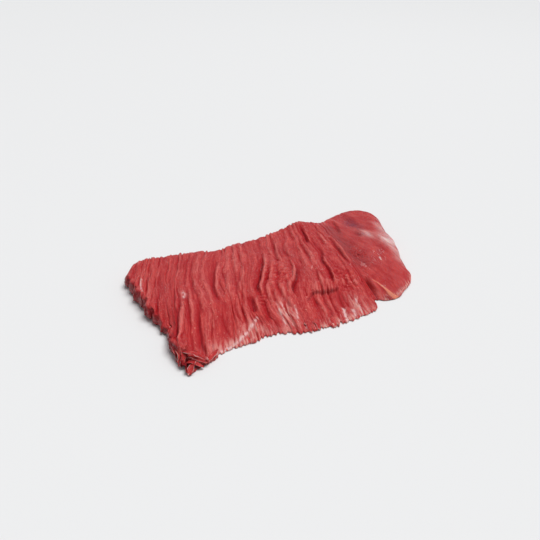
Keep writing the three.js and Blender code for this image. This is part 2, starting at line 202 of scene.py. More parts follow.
# The camera, in the layout: where it is, and the directions of its view and of its right side. Its
# lens was worked out in pixels of the square picture, and its sensor is in millimetres.
CAMERA_AT = (-196.72, -390.81, 266.94)
CAMERA_LOOKS = (0.39274, 0.77515, -0.49488)
CAMERA_RIGHT = (0.89742, -0.44063, 0.02202)
LENS_PIXELS, PICTURE_PIXELS, SENSOR = 665.09, 540, 36

# The stage, in metres: half the side of its floor, and its lights.
FLOOR_REACH = 6
OVERHEAD_FROM, OVERHEAD_SPREAD = (0.34, 0.0, 1), math.radians(40)
BACK_LIGHT_AT, BACK_LIGHT_SIZE = (0.75, 0.85, 0.95), 0.1
SKY_COLOUR = (0.95, 0.97, 1, 1)

# Bumps and dents of the lobe's right edge: how far along it, their reach, and how far they go.
EDGE_BUMPS = [(44, 8, -1.6), (20, 9, 1.6), (4, 6, 1.2), (-26, 8, 2.4)]
EDGE_ROW = 18  # the bumps show past this fibre
FOLD_SLOPE = 0.23  # how far the lobe's fine folds slant
FOLD, FINE_FOLD = 0.8, 0.25

# How finely the slab is divided.
RING_GAP = 0.58
FINE_SHARE = 0.5  # of that gap, where the fibres are pleated
FEWEST_RINGS = 6  # in one bundle
END_RINGS = (0.004, 0.02, 0.05, 0.1, 0.16)
BACK_STOPS, NEAR_STOPS, UNDER_STOPS = 10, 13, 6
STOPS_BEFORE_STEP, STOPS_AFTER_STEP, STOPS_UNDER = 104, 34, 9
STEP_STOPS = (-1, -0.4, 0.2, 1)  # close together on the face of the torn step
STOP_GAP = 0.002
SHORT_FIBRE, SHORT_NEAR_FIBRE = 40, 24

# Gaps torn between the bundles: half their width, their depth, how far one side stands up (the
# right side, or the left where it is below 0), and the line that each follows to the near side.
GAPS = [
    (0.7, 1.0, 0.3, [(-84, 61), (-88, 53), (-92, 45), (-94, 38)]),
    (0.5, 0.6, 0.2, [(-75, 55), (-80, 42), (-87, 27), (-93, 11)]),
    (0.6, 1.1, 0.3, [(-80, 17), (-87, 2), (-91, -8), (-94, -13)]),
    (0.8, 2.0, 1.0, [(-68, 6), (-76, -14), (-82, -27), (-87, -38), (-92, -48)]),
    (0.6, 1.2, 0.4, [(-59, 16), (-68, -8), (-72, -23), (-76, -37)]),
    (0.5, 0.8, 0.3, [(-53, 24), (-60, 4), (-65, -16)]),
    (0.8, 2.0, 0.6, [(-58, -6), (-67, -29), (-71, -43), (-73, -51), (-75, -64)]),
    (0.5, 0.6, 0.2, [(-43, 47), (-54, 26), (-59, 8)]),
    (0.8, 1.7, 0.7, [(-22, 46), (-34, 25), (-40, 12), (-44, 2), (-46, -9), (-47, -20)]),
    (0.5, 0.8, 0.4, [(-11, 46), (-22, 19)]),
    (0.6, 1.2, 0.4, [(-10, 29), (-20, 9), (-27, -4), (-29, -17)]),
    (0.9, 2.5, 1.2, [(13, 42), (5, 21), (-1, 10), (-7, 0), (-13, -9), (-15, -20)]),
    (0.5, 0.9, 0.3, [(10, 45), (5, 29), (1, 19), (-6, 9), (-14, -5)]),
    (0.7, 1.6, 0.7, [(8, 13), (0, 1), (-8, -11), (-11, -22), (-14, -36)]),
    (1.2, 2.2, 0.4, [(-21, -16), (-24, -26), (-26, -33)]),
    (0.6, 1.3, 0.4, [(-33, -12), (-38, -25), (-39, -32), (-39, -42)]),
    (0.6, 1.2, 0.3, [(-28, -13), (-33, -26), (-35, -35), (-37, -45)]),
    (0.5, 1.0, 0.3, [(-29, -25), (-29, -33), (-28, -44)]),
    (0.5, 0.8, 0.2, [(-46, -19), (-51, -33), (-52, -40), (-52, -51)]),
    (0.6, 1.0, 0.3, [(-13, -16), (-16, -30), (-18, -37), (-20, -50)]),
    (0.5, 1.0, 0.3, [(-3, -14), (-7, -26), (-7, -39)]),
    (0.6, 1.0, 0.4, [(31, 53), (21, 32), (17, 19)]),
    (0.6, 1.1, 0.2, [(14, 34), (16, 30), (17, 24), (18, 18), (21, 8)]),
    (0.7, 1.2, 0.5, [(4, -6), (1, -15), (0, -31), (3, -40)]),
    (0.6, 0.9, 0.3, [(45, 66), (38, 43)]),
    (0.5, 0.7, 0.2, [(36, 47), (29, 30), (29, 15)]),
    (0.9, 2.2, 0.6, [(64, 69), (59, 50), (54, 34)]),
    (0.6, 0.9, 0.3, [(72, 56), (68, 39), (65, 23)]),
    (0.8, 1.6, 0.4, [(100, 76), (97, 60), (92, 45)]),
    (0.7, 1.3, 0.9, [(76, 38), (72, 16), (70, 6), (69, -10)]),
    (0.9, 2.1, 0.7, [(63, 37), (57, 18), (51, 6), (49, -4), (48, -11), (45, -20), (41, -30)]),
    (1.0, 2.2, -1.4, [(30, 18), (25, 1), (21, -6), (17, -12), (13, -16), (10, -22), (9, -32)]),
    (0.5, 1.0, 0.3, [(20, -21), (17, -31)]),
    (0.7, 0.9, 0.3, [(21, -33), (22, -41), (20, -52)]),
    (0.5, 0.8, 0.3, [(37, -10), (33, -20)]),
    (0.5, 0.6, 0.2, [(47, 27), (41, 8)]),
    (0.5, 0.8, 0.3, [(44, -32), (43, -41), (42, -54)]),
    (0.6, 2.6, 0.4, [(71.5, -17), (73, -28), (72, -36), (70, -44), (68, -54)]),
]

# Where the fibres are crumpled crosswise, and where they are pleated above the torn step.
WRINKLED = [((8, -1), (12, 13)), ((55, -22), (9, 13)), ((-14, -24), (5, 7)), ((86, 10), (6, 8))]
WRINKLE_ACROSS, WRINKLE_ALONG, WRINKLE_HEIGHT = 4.4, 3.6, 2.7
PLEATED = ((33, -28.3), (9, 3.4))
PLEAT_WIDTH, PLEAT_HEIGHT = 2.1, 1.4
PLEATED_ROWS = (12.5, 13.9)

# Where the surface has another colour, or painted light or shade: patches, and lines with their half
# widths at both ends.
# The painted shadow under the torn step.
STEP_SHADOW_LINE = [(15.5, -35), (18, -32.5), (23, -29.2), (29, -29.8), (35, -31), (43.5, -30)]
# A painted highlight on the crumpled ridge above the torn step.
CRUMPLED_RIDGE_HIGHLIGHT = ((37, -23), (8.5, 4))
DULLER = [((27, 29), (12, 14)), ((30, -6), (9, 12)), ((45, -47), (16, 8))]
FILM_PATCHES = [
    ((-52, -56), (18, 5)), ((-34, -47), (9, 6)), ((-5, -41), (6, 12)), ((38, -62), (18, 4)),
    ((-67.5, 3), (2, 3)), ((68, 76), (6, 5)), ((12, -64), (8, 4)), ((50, -49), (5, 10)),
    ((73, -51), (3, 3)),
]
# Streaks of pale skin; the last, on the lobe, is a painted glint.
SKIN_AND_GLINT_STREAKS = [
    (0.7, 0.5, [(-5, -29), (-5, -36), (-5.4, -43), (-6.2, -53)]),
    (0.5, 0.6, [(-8.5, -34), (-9.5, -42), (-10.5, -50)]),
    (0.6, 0.5, [(4, -35), (2, -43), (-1, -51)]),
    (1.5, 1.0, [(-66.8, 3.5), (-68, 0), (-69.5, -4)]),
    (1.5, 1.1, [(38, -48), (35, -56), (31.5, -65)]),
    (1.2, 0.9, [(43.5, -52), (42, -58), (39.5, -65)]),
    (0.7, 0.5, [(52, -42), (50, -52), (47, -61)]),
    (1.8, 0.9, [(-71, -61), (-58, -58.8), (-47.3, -53.5), (-36.2, -45.6), (-27, -37.3)]),
    (0.5, 0.5, [(-88, 38), (-91, 30), (-93, 20)]),
    (0.8, 0.5, [(100.5, -2), (99.5, -5), (98.5, -8)]),
]
LOBE_RIM = [(117, -20), (114, -29), (108, -36), (99, -42.5), (88, -48), (84, -52)]
# A painted sheen, the reflection of the bright surroundings, along the lobe's right edge, its brightest
# place, and a painted glint.
LOBE_SHEEN = [(136, 56), (131, 42), (126, 24), (121, 6), (117, -8)]
SHEEN_PEAK = ((123, 17), (6, 12))
LOBE_GLOW = ((113, 36), (3.5, 8))
LOBE_SHADE = [(90, 66), (86, 40), (85, 20), (82, -4)]
FAT_LINE = [(77, -24), (80, -32), (81.5, -41), (82, -46), (83, -51)]
# Darker and bluer in the lobe's hollow.
HOLLOW_TINT = ((113.5, 61), (6, 12))
# Painted shade in the pit below the hollow, in the dip by the fat, and in the cavity under the torn
# corner's lip.
PIT_SHADE = ((107.5, 40), (3.2, 5))
FLAP_SHADE = ((79, -49), (5.5, 4))
CORNER_SHADE = ((-86, -65), (9, 8))


def place_of_row(row):
    return np.interp(row, np.arange(LAST_ROW + 1), ROW_PLACES)


def row_of_place(place):
    return np.interp(place, ROW_PLACES, np.arange(LAST_ROW + 1))


def cut_end_share(row):
    return 1 - smooth(row, CORNER_ROW - 1, CORNER_ROW + 0.7)


def fibre_at(row):
    back = curve_through(FIBRES[:, 0], row)
    front = curve_through(FIBRES[:, 1], row)
    length = np.hypot(*np.moveaxis(back - front, -1, 0))
    slant = lerp(1, length / np.maximum(back[..., 0] - front[..., 0], 1), cut_end_share(row))
    return back, front, length, slant


DRAW_STEP, DRAW_LIMIT = 16807, 2147483647
BUNDLE_SEED = 20211


def draws(seed):
    """Repeatable draws between 0 and 1."""
    state = seed
    while True:
        state = state * DRAW_STEP % DRAW_LIMIT
        yield state / DRAW_LIMIT


@functools.lru_cache(maxsize=None)
def creases():
    """The borders of the bundles.

    Each has a place, strength, phase, beat and level, and a cleft's start, stop and depth.
    """
    draw = draws(BUNDLE_SEED)
    fixed = [(0, None)] + [(place_of_row(c[0]), c[1:]) for c in CLEFTS] + [(SLAB_LENGTH, None)]
    rows = []
    for (place, cleft), (after, _) in zip(fixed, fixed[1:]):
        gap = after - place
        count = max(1, math.floor(gap / BUNDLE_WIDTH + 0.5))
        for k in range(count):
            shift = (next(draw) - 0.5) * BUNDLE_SPREAD if k else 0
            strength = lerp(*STRENGTHS, next(draw))
            phase = next(draw)
            beat = lerp(*BEATS, next(draw))
            level = next(draw) * 2 - 1
            start, stop, depth = cleft if k == 0 and cleft else (0, 1, 0)
            where = place + gap * (k + shift) / count
            rows.append((where, strength, phase, beat, level, start, stop, depth))
    rows.append((SLAB_LENGTH, 0, 0, 1, 0, 0, 1, 0))
    return np.array(rows).T


def crease_wave(i, along, speed):
    phase, beat = creases()[2:4]
    return np.sin(2 * math.pi * (phase[i] + along * beat[i] * speed))


def crease_place(i, along):
    place, depth = creases()[0], creases()[7]
    last = len(place) - 1
    room = np.minimum(place[i] - place[np.maximum(i - 1, 0)], place[np.minimum(i + 1, last)] - place[i])
    wander = np.where(depth[i] > 0, CLEFT_WANDER, WANDER)
    moved = place[i] + room * wander * (crease_wave(i, along, 1) + 0.4 * crease_wave(i, along, 2.7))
    return np.where((i == 0) | (i == last), place[i], moved)


def crease_depth(i, along, shallow):
    strength, start, stop, depth = creases()[[1, 5, 6, 7]]
    shallow = shallow * strength[i] * (0.55 + 0.45 * crease_wave(i, along, 1.6))
    opened = smooth(along, start[i], start[i] + CLEFT_FADE)
    opened = opened * (1 - smooth(along, stop[i] - CLEFT_FADE, stop[i]))
    return np.maximum(shallow, CLEFT_SHARE * depth[i] * opened)


def groove(distance, depth):
    """A crease is narrow and sharp at its bottom. A deeper one gapes wider."""
    return depth * np.exp(-(np.abs(distance) / (0.75 + 0.3 * depth)) ** 1.3)


def sway_of(row, along):
    rows, sways, places = SWAYS.T
    i = np.clip(np.searchsorted(rows, row) - 1, 0, len(rows) - 2)
    share = smooth(row, rows[i], rows[i + 1])
    offset = (along - lerp(places[i], places[i + 1], share)) / SWAY_REACH
    ends = np.minimum(1, np.minimum(6 * along, 6 * (1 - along)))
    return -lerp(sways[i], sways[i + 1], share) * np.exp(-offset * offset) * ends


def rounded(distance, reach):
    x = np.clip(distance / reach, 0, 1)
    return np.sqrt(1 - (1 - x) ** 2)


def bell(x, y, patch):
    """1 in the middle of a patch and less outwards. A patch has a middle and a reach both ways."""
    (cx, cy), (rx, ry) = patch[:2]
    return np.exp(-(((x - cx) / rx) ** 2) - ((y - cy) / ry) ** 2)


def ridge(x, y, line):
    (x0, y0), (x1, y1), width = line[:3]
    long = math.hypot(x1 - x0, y1 - y0)
    along = ((x - x0) * (x1 - x0) + (y - y0) * (y1 - y0)) / long**2
    aside = ((x - x0) * (y1 - y0) - (y - y0) * (x1 - x0)) / long
    ends = smooth(along, -0.05, 0.15) * (1 - smooth(along, 0.85, 1.1))
    return np.exp(-((aside / width) ** 2)) * ends


def near_line(x, y, points, reach):
    """Distance from a smooth line, above 0 on its right side, and the share of it passed."""
    points = np.array(points, float)
    line = curve_through(points, np.linspace(0, len(points) - 1, 5 * len(points) - 4))
    low, high = line.min(axis=0) - reach, line.max(axis=0) + reach
    inside = (x > low[0]) & (x < high[0]) & (y > low[1]) & (y < high[1])
    px, py = x[inside], y[inside]
    best = np.full(px.shape, 1e3)
    passed = np.zeros(px.shape)
    for k, (start, stop) in enumerate(zip(line, line[1:])):
        span = stop - start
        dx, dy = px - start[0], py - start[1]
        t = np.clip((dx * span[0] + dy * span[1]) / (span @ span), 0, 1)
        away = np.hypot(dx - t * span[0], dy - t * span[1])
        closer = away < np.abs(best)
        best = np.where(closer, away * np.where(span[0] * dy - span[1] * dx < 0, -1, 1), best)
        passed = np.where(closer, (k + t) / (len(line) - 1), passed)
    distance, share = np.full(x.shape, 1e3), np.zeros(x.shape)
    distance[inside], share[inside] = best, passed
    return distance, share


# How far a gap goes on its steep side and on its sloping side, in half widths. Then where the top
# of its raised side lies beside it, and its reach, in millimetres.
FOOT_REACH, SLOPE_REACH = 0.9, 2.6
LIP_AT, LIP_REACH = 2.1, 1.5


def gaps_at(x, y):
    """How deep the torn gaps are, how much painted shade darkens them, and how far their raised sides
    stand up.

    The floor of a gap slopes down to the foot of its raised side, which is steep.
    """
    deep, dark, lip = np.zeros(x.shape), np.zeros(x.shape), np.zeros(x.shape)
    for width, depth, raised, points in GAPS:
        distance, passed = near_line(x, y, points, 7)
        wander = 0.35 * grain(passed * len(points), 0, depth * 7)
        beside = distance * np.sign(raised) + wander
        ends = smooth(passed, 0, 0.3) * (1 - smooth(passed, 0.75, 1))
        reach = np.where(beside > 0, FOOT_REACH, SLOPE_REACH) * width
        cut = ends * np.exp(-(np.abs(beside) / reach) ** 1.4)
        deep = np.maximum(deep, depth * cut)
        # Painted shade in the gap, strongest at the foot of its raised side.
        dark = np.maximum(dark, depth * ends * np.exp(-(((beside + 0.4 * width) / (1.1 * width)) ** 2)))
        lip = np.maximum(lip, abs(raised) * ends * np.exp(-(((beside - LIP_AT) / LIP_REACH) ** 2)))
    return deep, dark, lip


def step_share(row):
    share = np.clip((row - STEP_FROM_ROW) / (STEP_TO_ROW - STEP_FROM_ROW), 0, 1)
    return lerp(STEP_FROM, STEP_TO, share) + STEP_SAG * np.sin(math.pi * share)


def step_sides(row):
    left = smooth(row, STEP_FROM_ROW - 0.4, STEP_FROM_ROW + 0.3)
    return left * (1 - smooth(row, STEP_TO_ROW - 0.1, STEP_TO_ROW + 0.2))


def step_drop(row, along):
    past = along - step_share(row)
    down = smooth(past, -STEP_RUN, STEP_RUN) * (1 - smooth(past, 0, STEP_FADE))
    return STEP_DROP * down * step_sides(row)


# The torn leaves of the corner and of the near edge: half the width of each, its tilt in degrees,
# how far it is cupped, how pale its edge is (pale skin with a painted highlight), and its line, with
# heights.
LEAVES = [
    (2.3, 5, -0.4, 1,
     [(-91, -57, 8), (-87, -60.5, 9.3), (-83, -63, 8.8), (-79.5, -65.5, 6.8), (-75.5, -68.3, 4.4)]),
    (1.7, 20, -0.3, 0.5,
     [(-90, -61, 4.5), (-85.5, -62.5, 6), (-81.5, -66, 4.8), (-77, -69.5, 3)]),
    (1.6, 10, 0.3, 0.4,
     [(-90.5, -64, 3), (-87, -65.5, 4.2), (-82.5, -69, 2.8), (-80, -71, 1.6)]),
    (2.6, -10, 0.5, 1,
     [(-84, -65, 3.6), (-87.5, -69.5, 3.2), (-91.8, -74, 1.2)]),
    (2.8, 10, -0.3, 0.6,
     [(12, -52, 2.2), (11, -57, 2.6), (9, -64.5, 1)]),
    (2.4, -5, -0.3, 0.8,
     [(23, -54, 2), (22.4, -59, 2.4), (21.2, -66, 1)]),
    (2.2, 10, -0.3, 0.7,
     [(4, -52, 2.2), (3.4, -58, 2.2), (2.4, -65, 1)]),
    (1.9, 15, 0.3, 0.8,
     [(-93, -53.5, 7.4), (-92, -58, 6.2), (-92.6, -61.5, 4.2), (-94.6, -63.6, 1.6)]),
    (1.8, 25, 0.3, 0.6,
     [(-89.5, -55, 8.8), (-89.8, -60, 7.2), (-91.5, -64.5, 4)]),
    (1.6, 20, 0.2, 0.5,
     [(-92.5, -47, 6.6), (-92.6, -52, 5.6), (-93.6, -57, 3.4)]),
    (1.2, 20, -0.3, 0.6,
     [(-82.5, -59, 8.6), (-79, -64.5, 6.4), (-75, -69, 3.6)]),
    (1.8, 5, -0.4, 0.7,
     [(-66, -60.5, 5.2), (-73, -65, 3.8), (-79, -68.5, 2.4)]),
]
LEAF_THICK = 0.45  # half the thickness of a leaf
LEAF_TWIST, LEAF_FRILL, LEAF_RIPPLE = 0.35, 0.35, 0.4
LEAF_SIDES, LEAF_RINGS = 20, 28
LEAF_MAP_GAP = 7  # from one leaf to the next on the map of the fibres
MAP_UNIT = 100  # millimetres: one unit of that map


def past_corner_lip(x, y):
    (x0, y0), (x1, y1) = CORNER_LIP
    past = ((x - x0) * (y1 - y0) - (y - y0) * (x1 - x0)) / math.hypot(x1 - x0, y1 - y0)
    return smooth(past, -CORNER_RUN, CORNER_RUN)


def torn_corner(x, y):
    height = PIT[2] * bell(x, y, PIT) + sum(p[3] * ridge(x, y, p) for p in PETALS)
    return (height - CORNER_DROP) * past_corner_lip(x, y)


def lump_at(y):
    return 0.6 * np.sin(y / 1.9) + 0.5 * np.sin(y / 3.7 + 1) + 0.4 * np.sin(y / 1.1 + 3)


def thickness_at(x, y, row, along):
    lobe = smooth(row, NOTCH_ROW - 1.2, NOTCH_ROW + 0.8)
    cut_end = 1 - smooth(x, CUT_X, CUT_X + CUT_END_REACH)
    full = lerp(lerp(BODY_THICK, LOBE_THICK, lobe), CUT_END_THICK, cut_end)
    near = smooth(along, 0.55, 1) * (1 - cut_end_share(row))
    swell = 0.7 * np.sin(x / 19 + y / 31) * np.cos(y / 23)
    return lerp(full + swell, NEAR_EDGE_THICK, near)


def roughness(row):
    return lerp(1, SMOOTH_SHARE, smooth(row, NOTCH_ROW - 0.5, NOTCH_ROW + 0.5))


SCRAMBLE_LIMIT = 4294967291


def scrambled(cell):
    """A repeatable number below the limit for each cell. The products run over and wrap round."""
    x, y, z = cell
    key = x * 73856093 ^ y * 19349663 ^ z * 83492791
    with np.errstate(over="ignore"):
        key = (key ^ (key >> 15)) * 2246822519 % SCRAMBLE_LIMIT
        return (key ^ (key >> 13)) * 3266489917 % SCRAMBLE_LIMIT


def grain(x, y, z):
    """Smooth repeatable noise between about -1 and 1, in cells one unit wide.

    Most uses of it have a z of their own, so that they don't look alike.
    """
    x, y, z = np.broadcast_arrays(x, y, z)
    cell = [np.floor(a).astype(np.int64) for a in (x, y, z)]
    part = [a - c for a, c in zip((x, y, z), cell)]
    blend = [p**3 * (p * (6 * p - 15) + 10) for p in part]
    total = 0
    for corner in itertools.product((0, 1), repeat=3):
        key = scrambled([c + d for c, d in zip(cell, corner)])
        turn = key * (2 * math.pi / SCRAMBLE_LIMIT)
        tilt = (key // 64 % 4096) / 2048 - 1
        flat = np.sqrt(1 - tilt**2)
        x_part, y_part, z_part = (p - d for p, d in zip(part, corner))
        slope = x_part * np.cos(turn) * flat + y_part * np.sin(turn) * flat + z_part * tilt
        share = math.prod(b if d else 1 - b for b, d in zip(blend, corner))
        total = total + slope * share
    return total * 1.6


def crevice(x, y, z, sharp):
    """Lumps between narrow crevices: 0 in a crevice, and near 1 between them."""
    return 1 - np.exp(-np.abs(grain(x, y, z)) / sharp)


def film_at(x, y, along, is_cut):
    """How much of the whitish skin lies on the meat: mostly along the near edge, in patches."""
    patches = np.clip(sum(bell(x, y, patch) for patch in FILM_PATCHES), 0, 1)
    edge = smooth(along, 0.9, 0.99) * (1 - is_cut)
    broken = smooth(grain(x / 9, 0, 21), -0.3, 0.5)
    return np.clip(patches + 0.5 * edge * broken, 0, 1)


def beside_line(x, y, points, start_width, end_width):
    """1 on a line and less beside it, where the line widens from one end to the other."""
    distance, passed = near_line(x, y, points, 3 * max(start_width, end_width))
    width = lerp(start_width, end_width, passed)
    return np.exp(-((distance / width) ** 2)) * smooth(passed, 0, 0.1)


def ring_bundles():
    """Where the rings lie, counted in bundles: closer together at the creases and at both ends."""
    starts = creases()[0]
    gaps = np.diff(starts)
    fine_from, fine_to = place_of_row(np.array(PLEATED_ROWS))
    rings = []
    for i, gap in enumerate(gaps):
        ring_gap = RING_GAP * (FINE_SHARE if fine_from < starts[i] < fine_to else 1)
        count = max(FEWEST_RINGS, round(gap / ring_gap))
        share = np.arange(count) / count
        rings.extend(i + share - 0.35 * np.sin(2 * math.pi * share) / (2 * math.pi))
    first = np.array(END_RINGS)
    last = len(gaps) - first[::-1]
    inner = [r for r in rings if first[-1] < r < last[0]]
    return np.concatenate([first, inner, last])


def even_round(reach, count):
    """Distances from an edge that divide its rounding evenly."""
    return reach * (1 - np.cos(np.linspace(0, math.pi / 2, count)))


def shares(count):
    return (np.arange(count) + 0.5) / count


def lay_stops(row):
    """How far along its fibre each stop of a ring lies, and whether it is on the underside.

    A ring starts under the middle of the slab, goes out to the far edge, over the top to the near
    edge, and back underneath.
    """
    row = row[:, None]
    _, _, length, slant = fibre_at(row)
    scale = np.maximum(length, SHORT_FIBRE)
    near_scale = np.maximum(length / slant, SHORT_NEAR_FIBRE)
    back = even_round(ROUND_BACK, BACK_STOPS) / scale
    near = 1 - even_round(ROUND_NEAR + 1, NEAR_STOPS)[::-1] / near_scale
    step = step_share(row)
    before = lerp(back[:, -1:], step - STEP_RUN, shares(STOPS_BEFORE_STEP))
    at_step = step + STEP_RUN * np.array(STEP_STOPS)
    past_step = np.minimum(step + 1.4 * STEP_RUN, near[:, :1] - 0.01)
    at_step = np.minimum(at_step, past_step - STOP_GAP * np.arange(len(STEP_STOPS), 0, -1))
    after = lerp(past_step, near[:, :1], shares(STOPS_AFTER_STEP))
    under_near = 1 - even_round(ROUND_UNDER, UNDER_STOPS)[1:] / near_scale
    under_back = even_round(ROUND_UNDER, UNDER_STOPS)[1:] / scale
    middle = 0.5 + 0 * row
    out = lerp(middle, under_back[:, -1:], shares(STOPS_UNDER))
    home = lerp(under_near[:, -1:], middle, shares(STOPS_UNDER))
    first = np.concatenate([out, under_back[:, ::-1]], axis=1)
    top = np.concatenate([back, before, at_step, after, near], axis=1)
    last = np.concatenate([under_near, home], axis=1)
    is_under = np.repeat([True, False, True], [part.shape[1] for part in (first, top, last)])
    return np.concatenate([first, top, last], axis=1), is_under


def lay_rings(shallow):
    """Which fibre each point of the slab is on, and where on it. Arrays have a row for each ring."""
    bundle = ring_bundles()[:, None]
    starts, levels = creases()[[0, 4]]
    i = np.clip(np.floor(bundle).astype(int), 0, len(starts) - 2)
    share = bundle - i
    straight_row = row_of_place(lerp(starts[i], starts[i + 1], share))[:, 0]
    along, is_under = lay_stops(straight_row)
    left, right = crease_place(i, along), crease_place(i + 1, along)
    place = lerp(left, right, share)
    row = row_of_place(place)
    back, front, length, slant = fibre_at(row)
    is_cut = cut_end_share(row)
    crease = np.maximum(
        groove(place - left, crease_depth(i, along, shallow)),
        groove(right - place, crease_depth(i + 1, along, shallow)),
    )
    crease = crease * (1 - 0.7 * is_cut * smooth(along, 0.86, 1))
    return SimpleNamespace(
        share=share, level=levels[i], along=along, is_under=is_under, place=place, row=row,
        back=back, front=front, length=length, is_cut=is_cut, rough=roughness(row),
        from_back=along * length, from_front=(1 - along) * length / slant,
        from_ends=np.minimum(place, SLAB_LENGTH - place),
        crease=np.where(is_under, 0.5 * crease, crease),
    )


def add_strands(at):
    """Divide each bundle into strands, which wander, split and join."""
    wandering = at.place + 1.5 * grain(at.place / 9, at.from_back / 15, 1)
    at.strand = crevice(wandering / STRAND_WIDTH, at.from_back / STRAND_LENGTH, 2, 0.18)
    at.knots = grain(wandering / 1.8, at.from_back / 4.5, 3)
    at.stringy = smooth(grain(at.place / 9, at.from_back / 20, 4), -0.6, 0.6)


def add_plan(at):
    """Place the points as seen from above. The bundles end at different lengths, so edges are ragged."""
    swell = np.sin(math.pi * at.share)
    ragged = (RAGGED * (at.level + 0.8 * swell) - 0.8 * at.crease) * at.rough
    tips = TIP_LENGTH * (0.7 - 2.4 * np.abs(grain(at.place / 3.4, 0, 5)))
    tips = tips + 0.5 * grain(at.place / 0.8, 0, 6)
    ragged = ragged + tips * at.rough
    shift = ragged * (smooth(at.along, 0.6, 1) - 0.4 * (1 - smooth(at.along, 0, 0.4)))
    shifted = at.along + shift / at.length
    (back_x, back_y), (front_x, front_y) = np.moveaxis(at.back, -1, 0), np.moveaxis(at.front, -1, 0)
    straight_y = lerp(back_y, front_y, at.along)
    lump = at.is_cut * LUMP * lump_at(straight_y) * smooth(at.along, 0.7, 1)
    inner = smooth(at.from_back, WAVE_FROM, WAVE_TO) * smooth(at.from_front, WAVE_FROM, WAVE_TO) * at.rough
    wave = 1.1 * grain(at.place / 22, at.from_back / 12, 13)
    wave = inner * (wave + 0.4 * grain(at.place / 9, at.from_back / 6, 14))
    x = lerp(back_x, front_x, shifted) + sway_of(at.row, at.along) - lump + wave
    bumps = sum(size * np.exp(-(((straight_y - y) / reach) ** 2)) for y, reach, size in EDGE_BUMPS)
    at.x = x + bumps * smooth(at.row, EDGE_ROW, LAST_ROW)
    at.y = lerp(back_y, front_y, shifted)


def add_standing(at):
    """How far the bundles, crumples, pleats and folds stand out of the slab, and the gaps lie in it."""
    x, y, place, from_back = at.x, at.y, at.place, at.from_back
    dome = 1 - np.abs(2 * at.share - 1) ** 3
    tilt = 0.9 * np.sin(40 * at.level) * (at.share - 0.5) * dome
    bundles = (BUNDLE_STEP * at.level * dome + tilt - at.crease) * at.rough
    bundles = bundles * (1 - 0.7 * bell(x, y, BARE_PATCH))
    kinks = KINK_HEIGHT * grain(place / 3, from_back / 5, 16)
    kinks = kinks * smooth(place, KINKED_FROM, KINKED_TO) * at.rough
    at.wrinkled = np.clip(sum(bell(x, y, zone) for zone in WRINKLED), 0, 1)
    twisted = from_back + 2.5 * grain(place / 6, from_back / 9, 15)
    wrinkles = crevice(place / WRINKLE_ACROSS, twisted / WRINKLE_ALONG, 8, 0.35) - 0.6
    wrinkles = at.wrinkled * WRINKLE_HEIGHT * wrinkles
    at.pleated = bell(x, y, PLEATED)
    at.fringe = np.abs(np.sin(math.pi * (place + 0.25 * from_back) / PLEAT_WIDTH)) ** 0.7 - 0.5
    pleats = at.pleated * PLEAT_HEIGHT * at.fringe
    gap, at.gap_dark, at.lip = gaps_at(x, y)
    oblique, lengthwise = x + FOLD_SLOPE * y, y - FOLD_SLOPE * x
    on_lobe = smooth(at.row, NOTCH_ROW - 0.5, NOTCH_ROW + 1.5)
    folds = FOLD * grain(oblique / 7, lengthwise / 22, 19)
    folds = on_lobe * (folds + FINE_FOLD * grain(oblique / 2.6, lengthwise / 12, 20))
    at.standing = bundles + wrinkles + pleats + kinks + folds - gap + at.lip


def add_heights(at, strand_depth):
    """The height of every point, on the top and on the underside."""
    x, y = at.x, at.y
    at.dented = at.is_cut * np.exp(-(((y - CUT_DENT_Y) / CUT_DENT_WIDTH) ** 2))
    thinned = THINNED * at.dented * (1 - smooth(at.from_front, 0, THINNED_REACH))
    thick = thickness_at(x, y, at.row, at.along) * (1 - thinned)
    equator = EQUATOR * thick
    round_near = lerp(ROUND_NEAR, ROUND_CUT_END, at.is_cut)
    sides = rounded(at.from_back, ROUND_BACK) * rounded(at.from_front, round_near)
    ends = rounded(at.place, ROUND_FAR_CORNER) * rounded(SLAB_LENGTH - at.place, ROUND_LOBE_END)
    relief = torn_corner(x, y) - step_drop(at.row, at.along)
    relief = relief + sum(swell[2] * bell(x, y, swell) for swell in SWELLS)
    relief = relief + sum(line[3] * ridge(x, y, line) for line in RIDGES)
    strands = strand_depth * ((at.strand - 0.7) * (0.4 + at.stringy) + 0.4 * at.knots)
    relief = relief + at.standing + strands * at.rough
    rise = np.maximum(thick - equator + relief, THINNEST - equator)
    top = equator + rise * sides * ends
    inwards = at.from_back, at.from_front, at.from_ends
    flat = math.prod(rounded(distance, ROUND_UNDER) for distance in inwards)
    under = equator * (1 - flat) + strand_depth * (1 - at.strand) * flat
    at.z = np.where(at.is_under, under, top)


def shape_cut_end(at):
    """Make the cut end craggy: the ends of its fibres stand out and lie back. Its middle lies in."""
    y, z = at.y, at.z
    at.craggy = at.is_cut * (1 - smooth(at.from_front, CRAG_FROM, CRAG_TO))
    crags = CRAG * (crevice(y / CRAG_WIDTH, z / CRAG_HEIGHT, 9, 0.3) - 0.6)
    crags = crags + 0.3 * grain(y / 1.7, z / 1.5, 10)
    lean = at.dented * (1 - smooth(at.from_front, 0, CUT_LEAN_REACH)) * CUT_LEAN
    lean = lean * np.clip(z / CUT_END_THICK, 0, 1)
    moved = at.dented * CUT_DENT + at.is_cut * CUT_MOVED
    moved = moved * (1 - smooth(at.from_front, 0, CUT_DENT_REACH))
    at.x = at.x - at.craggy * crags - (lean - moved)
    at.z = np.maximum(z + at.craggy * 0.7 * grain(y / 2.2, z / 2, 12), 0)


